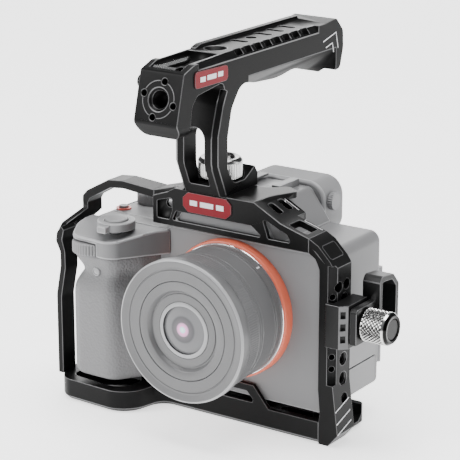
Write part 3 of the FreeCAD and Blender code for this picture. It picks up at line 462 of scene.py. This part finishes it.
def mount_ring():
    """The orange ring, with three fine grooves in its face."""
    outline = [(-15, 23), (-15, 32.3), (-19.2, 32.3), (-19.8, 32.0), (-20, 31.6)]
    for radius in (29.4, 27.0, 25.0):
        outline += [(-20, radius + 0.25), (-19.85, radius + 0.15), (-19.85, radius - 0.15),
                    (-20, radius - 0.25)]
    turned("mount_ring_turned", "mount_ring", "Y", LENS_AXIS, outline + [(-20, 23)],
           [LOOKS["orange_ring"]], ["mount_ring"], 180)


def lens():
    """The lens from its front rim back to the mount's ring, and the white index on the barrel."""
    front_rim()
    front_group()
    barrel()
    turning_rings()
    mount_ring()
    angle = math.radians(52)
    out = Vector((math.cos(angle), 0, math.sin(angle)))
    spot = Vector(LENS_AXIS) + out * 30.95 + Vector((0, -24.2, 0))
    strip("lens_index", "lens_barrel", [spot, spot + Vector((0, 2.0, 0))], 0.8, out, [PAINT])


def glass_with_painted_glint():
    """Grey coated glass, with a painted glint in pale cyan and magenta on the axis and painted shade round
    it.
    """
    skin = LOOKS["lens_glass"].copy()
    skin.name = "front_glass_with_painted_glint"
    nodes, links = skin.node_tree.nodes, skin.node_tree.links
    spread = nodes.new("ShaderNodeMapRange")
    spread.inputs["From Max"].default_value = 11 * MM
    links.new(from_axis(skin, "Y", (-0.4, 0, 55.3)), spread.inputs["Value"])
    ramp = nodes.new("ShaderNodeValToRGB")
    # From the axis out: the painted glint, the painted shade, then the glass's own grey.
    stops = ((0.0, (0.75, 0.92, 0.90)), (0.10, (0.45, 0.80, 0.78)), (0.17, (0.85, 0.30, 0.62)),
             (0.26, (0.55, 0.30, 0.46)), (0.31, (0.10, 0.09, 0.10)), (0.52, (0.06, 0.06, 0.065)),
             (0.60, (0.13, 0.13, 0.135)), (1.0, (0.15, 0.15, 0.155)))
    while len(ramp.color_ramp.elements) < len(stops):
        ramp.color_ramp.elements.new(0.5)
    for element, (at, color) in zip(ramp.color_ramp.elements, stops):
        element.position = at
        element.color = (*color, 1)
    links.new(spread.outputs["Result"], ramp.inputs["Fac"])
    links.new(ramp.outputs["Color"], nodes["Principled BSDF"].inputs["Base Color"])
    return skin


# ---------------------------------------------------------------- knobs and dials

def diamonds(low, high, count, pitch, depth):
    """Crossed knurling for turned(): pyramids between two sets of helical grooves."""
    def wave(value):
        return abs((value % 1) * 2 - 1)

    def less(angle, along):
        if not between(low, along, high):
            return 0
        turns = angle / (2 * math.pi) * count
        height = (along - low) / pitch
        return depth * max(wave(turns + height), wave(turns - height))
    return less


def painted_groove_shade(look, axis, centre, low, high, dark):
    """A copy of a look with painted shade: its colour darkens toward the bottom of the grooves round an
    axis.
    """
    skin = look.copy()
    skin.name = look.name + "_grooved_" + axis
    nodes, links = skin.node_tree.nodes, skin.node_tree.links
    shader = nodes["Principled BSDF"]
    depth = nodes.new("ShaderNodeMapRange")
    depth.inputs["From Min"].default_value = low * MM
    depth.inputs["From Max"].default_value = high * MM
    depth.inputs["To Min"].default_value = dark
    links.new(from_axis(skin, axis, centre), depth.inputs["Value"])
    shade = nodes.new("ShaderNodeVectorMath")
    shade.operation = "SCALE"
    links.new(shader.inputs["Base Color"].links[0].from_socket, shade.inputs[0])
    links.new(depth.outputs["Result"], shade.inputs["Scale"])
    links.new(shade.outputs["Vector"], shader.inputs["Base Color"])
    return skin


def handle_knob():
    """The ribbed knob that clamps the handle, with its screw and the dish in its top."""
    low, high = 113.1, 119.6
    turned("handle_knob_turned", "handle_knob", "Z", HANDLE_KNOB_AXIS, [
        (104.2, ON_AXIS), (104.2, 3.4), (104.5, 3.7), (112.2, 3.7), (112.2, 9.6), (112.6, 10.1),
        (112.9, 10.2)] + [(z, 10.2) for z in steps(low, high, 6)] + [
        (119.9, 10.2), (120.3, 10.1), (121.2, 9.3), (121.6, 8.8), (121.6, 7.0), (121.4, 6.7),
        (120.2, 6.6), (120.2, 2.8), (119.4, 2.4), (119.4, ON_AXIS),
    ], [painted_groove_shade(LOOKS["steel"], "Z", HANDLE_KNOB_AXIS, 9.85, 10.15, 0.25)], ["handle_knob"], 576,
        ribbed(low, high, 60, 0.36))


def clamp_knob():
    """The clamp's cross-knurled knob with its screw, and the black cap in its end."""
    low, high = 67.9, 77.6
    turned("clamp_knob_turned", "clamp_knob", "X", CLAMP_KNOB_AXIS, [
        (52.2, ON_AXIS), (52.2, 2.0), (52.5, 2.25), (66.6, 2.25), (66.6, 6.9), (67.2, 7.5),
        (67.7, 7.6)] + [(x, 7.7) for x in steps(low, high, 56)] + [
        (77.8, 7.6), (78.3, 7.55), (79.2, 7.0), (80, 6.3), (80, 5.3), (79.8, 5.0), (79.0, 4.9),
        (79.0, ON_AXIS),
    ], [painted_groove_shade(LOOKS["steel"], "X", CLAMP_KNOB_AXIS, 7.15, 7.45, 0.02)], ["clamp_knob"], 360,
        diamonds(low, high, 26, 1.85, 0.62))
    turned("clamp_cap_turned", "clamp_knob_cap", "X", CLAMP_KNOB_AXIS, [
        (79.0, ON_AXIS), (79.0, 4.8), (79.4, 4.75), (79.6, 4.5), (79.6, ON_AXIS),
    ], [LOOKS["clamp_metal"]], ["clamp_knob_cap"], 72)


def top_dial(node, x, y, radius, low, high):
    """A ribbed dial on the deck: chamfered rim, sunk top and a white index."""
    rib_low, rib_high = low + 0.4, high - 0.9
    turned(node + "_turned", node, "Z", (x, y, 0), [
        (low, ON_AXIS), (low, radius - 0.3)] + [(z, radius) for z in steps(rib_low, rib_high, 4)]
        + [(high - 0.3, radius - 0.25), (high, radius - 0.8), (high, radius - 1.4),
           (high - 0.25, radius - 1.7), (high - 0.25, ON_AXIS)],
        [LOOKS["controls"]], [node], 384, ribbed(rib_low, rib_high, 64, 0.3))
    level = high - 0.2
    strip(node + "_index", node, [(x, y - radius + 3.6, level), (x, y - radius + 2, level)],
          0.6, (0, 0, 1), [PAINT])


def dials():
    """The camera's dials and its control wheel."""
    pale = [LOOKS["controls"]]
    top_dial("mode_dial", -45.5, 11, 8.6, 86.3, 92.8)
    top_dial("exposure_dial", -67, 16, 7.6, 86.3, 91.9)
    turned("front_dial_turned", "front_dial", "Z", (-66.5, -32.5, 0), [
        (74.5, ON_AXIS), (74.5, 8.6)] + [(z, 9.2) for z in steps(74.9, 79.5, 4)]
        + [(79.9, 8.6), (79.9, ON_AXIS)], pale, ["front_dial"], 240, ribbed(74.9, 79.5, 40, 0.45))
    turned("control_wheel_turned", "control_wheel", "Y", (-57, 0, 46), [
        (31.3, 4.3), (31.3, 10.2), (31.6, 10.5), (32.6, 10.4), (33.1, 9.8), (33.2, 6.4), (32.9, 5.2),
        (32.6, 4.3)], pale, ["control_wheel"], 240, ribbed(31.5, 33.3, 60, 0.25))
    turned("diopter_turned", "diopter_dial", "X", (0, 37, 96), [
        (20.2, ON_AXIS), (20.2, 4.0)] + [(x, 4.2) for x in steps(20.5, 22.4, 3)]
        + [(22.8, 3.8), (22.8, ON_AXIS)], pale, ["diopter_dial"], 144, ribbed(20.5, 22.4, 24, 0.3))


# ---------------------------------------------------------------- camera body

def share(value):
    """A value held between 0 and 1."""
    return max(0, min(1, value))


def drawn_in(x, y, z):
    """A point of the grip's outline, moved in at the finger's hollow, the foot and the top."""
    hollow = math.exp(-((z - 65.5) / 5.2) ** 2)
    foot = 1 - math.sqrt(max(0, 1 - ((17.5 - min(z, 17.5)) / 3.0) ** 2))
    top = max(0, z - 73.2) * 0.5
    thumb = 1.6 * math.exp(-((z - 44) / 22) ** 2)
    inward = 4.2 * hollow + 2.5 * foot + top
    left = share((-60 - x) / 18)
    front = share((-18 - y) / 14)
    right = share((x + 56) / 12) * front
    return (x + inward * left - (0.4 * inward + thumb) * right, y + (0.75 * inward) * front, z)


def grip():
    """The hand grip, drawn level by level, and the lens of the lamp in its front."""
    outline = rounded([(-79.5, -15, 0), (-79.5, -27, 9), (-74, -37.8, 8), (-52, -38.2, 9),
                       (-43.5, -25, 10), (-40, -15, 0)], 10)
    heights = steps(14.5, 17.5, 5) + steps(19, 72.5, 44) + [73.2, 73.7, 74.0]
    verts = [drawn_in(x, y, z) for z in heights for x, y in outline]
    count = len(outline)
    faces = [tuple(range(count)), tuple(len(verts) - 1 - k for k in range(count))]
    for level in range(len(heights) - 1):
        for k in range(count):
            a, b = level * count + k, level * count + (k + 1) % count
            faces.append((a, b, b + count, a + count))
    drawn("grip_formed", verts, faces, "grip", [LOOKS["grip_rubber"]], ["grip"], 50)
    turned("lamp_window", "focus_lamp", "Y", (-62, 0, 66), [
        (-33.8, ON_AXIS), (-33.8, 2.1), (-35.5, 2.1), (-35.9, 1.8), (-35.9, 1.5), (-35.6, 1.3),
        (-35.8, 0.7), (-35.85, ON_AXIS),
    ], [EDGES["pale"]], ["focus_lamp"], 48)


# ---------------------------------------------------------------- marks and threads

def on_flare(y, z):
    """A point on the side plate's outer face, where its foot flares out toward the floor."""
    x = 58.02 - 3 * (z - 6) / 23 if z > 6 else 53.02 + 5 * z / 6
    return (x, y, z)


def white_marks():
    """Plain white strokes where the object carries printed marks."""
    white = [PAINT]
    for i, z in enumerate((16.8, 11.1, 6.3)):
        strip(f"flare_line_{i + 1}", "cage_side_plate", [on_flare(-17.2, z), on_flare(-5.0, z + 3.4)],
              0.45, (1, 0, 0.13), white)
    for name, chevron in (("outer", ((64, 163.6), (75.6, 166.4), (77.6, 158.6))),
                          ("inner", ((66.5, 160.4), (72.4, 161.8), (73.6, 157.2)))):
        strip("tail_mark_" + name, "handle_body", [(-1.98, y, z) for y, z in chevron],
              0.5, (1, 0, 0), white)
    for i, (low, high) in enumerate(((-21.2, -17.2), (-15.6, -8.4), (-6.8, -2.8))):
        strip(f"cage_plaque_bar_{i + 1}", "cage_plaque", [(low, -18.12, 101.6), (high, -18.12, 101.6)],
              2.4, (0, -1, 0), white)
    for i, (low, high) in enumerate(((-37.6, -33.8), (-32.4, -25.6), (-24.2, -20.4))):
        strip(f"handle_plaque_bar_{i + 1}", "handle_plaque",
              [(-1.38, low, 164.4), (-1.38, high, 164.2)], 2.2, (1, 0, 0), white)


def label_frame():
    """The blank engraved frame on the slope over the side plate."""
    label = [(-15.6, 0.18), (-14.8, 0.08), (-6.0, 0.08), (-5.2, 0.18), (-5.2, 0.82), (-6.0, 0.92),
             (-14.8, 0.92), (-15.6, 0.82)]
    strip("label_frame", "cage_side_plate", [(52.9 - 6.2 * k, y, 86.4 + 6.3 * k) for y, k in label],
          0.4, (0.713, 0, 0.701), [EDGES["black"]], closed=True)


def beam_marks():
    """Two small white angles on the top plate, on its slope and on the beam beyond it."""
    strip("slope_mark", "cage_top_plate", [(x, y, 107 - 0.5286 * (x - 13)) for x, y in (
        (24.6, 1.6), (17.0, 1.6), (18.6, -0.2))], 0.3, (0.467, 0, 0.884), [PAINT])
    strip("beam_mark", "cage_top_plate", [(x, y, 99.6 - 0.2905 * (x - 27)) for x, y in (
        (40.6, -4.0), (31.2, -4.0), (31.2, -2.9))], 0.3, (0.279, 0, 0.960), [PAINT])


def head_arcs():
    """The steps that join the locating holes round the handle's front bore, drawn as thin lines in the
    lighter edge colour, which is partly a painted highlight.
    """
    radius = 8.2
    for name, start, end in (("near_upper", 29, 89), ("near_lower", 119, 179),
                             ("far_lower", 209, 269), ("far_upper", 299, 359)):
        points = []
        for angle in steps(math.radians(start), math.radians(end), 10):
            out = Vector((math.sin(angle), 0, 0)) + HEAD_UP * math.cos(angle)
            points.append(HEAD_FACE + out * radius)
        strip("head_arc_" + name, "handle_body", points, 0.35, -HEAD_INWARD, [EDGES["black"]], 0.06)


def threads():
    """The thread ridges that show in the tapped holes."""
    up = (0, 0, 1)
    for i, z in enumerate((21.0, 30.3, 39.6, 48.9, 67.5)):
        thread(f"side_thread_{i + 1}", "cage_side_plate", (1, 0, 0), (51.4, -8.55, z),
               QUARTER_INCH, 3.0)
    thread("front_thread", "handle_body", HEAD_INWARD, HEAD_FACE + HEAD_INWARD * 1.8,
           THREE_EIGHTHS_INCH, 5.4)
    thread("top_thread", "handle_body", up, (-13.5, -8.5, 159), QUARTER_INCH, 9.6)
    thread("rail_thread", "handle_body", up, (-13.5, 20, 163), QUARTER_INCH, 8.0)
    for i, x in enumerate((-25, 20)):
        thread(f"base_thread_{i + 1}", "cage_base", up, (x, 0, 0.8), QUARTER_INCH, 3.6)


# ---------------------------------------------------------------- the whole

def finishes():
    """Each CAD node gets the finish of its slot. The handle's side screw is blackened."""
    for node, thing in frame["nodes"].items():
        thing.data.materials.clear()
        thing.data.materials.append(LOOKS[SLOT_OF[node]])
    frame["nodes"]["handle_side_screw"].data.materials[0] = LOOKS["handle_metal"]


def edges():
    """Broken edges on the machined metal, in a lighter colour that is partly worn bare metal and partly a
    painted highlight; wider soft ones on the camera's covers, in a pale colour that is a painted
    highlight.
    """
    for node in ("cage_base", "cage_top_plate", "cage_grip_arm", "clamp_slider", "handle_body"):
        edge_broken(node, 0.3)
    edge_broken("cage_side_plate", 0.2)
    # The clamp base's front bevel takes the lighter edge colour as a painted highlight.
    edge_broken("clamp_base", 0.2, bright=Vector((1, -1, 0)).normalized())
    for node, width in (("front_shell", 0.8), ("rear_shell", 0.8), ("viewfinder_hump", 1.0),
                        ("grip_top", 0.9), ("eyecup", 1.6), ("monitor_panel", 0.6),
                        ("power_lever", 0.5), ("card_door", 0.3), ("port_door_1", 0.3),
                        ("port_door_2", 0.3), ("hot_shoe", 0.2)):
        edge_broken(node, width, "pale", 3)
    for node in ("cage_plaque", "handle_plaque"):
        edge_broken(node, 0.15)


def build():
    """Every finish, then every drawn piece, in a fixed order."""
    finishes()
    edges()
    lens()
    handle_knob()
    clamp_knob()
    dials()
    grip()
    white_marks()
    label_frame()
    beam_marks()
    head_arcs()
    threads()


camera()
studio()
build()
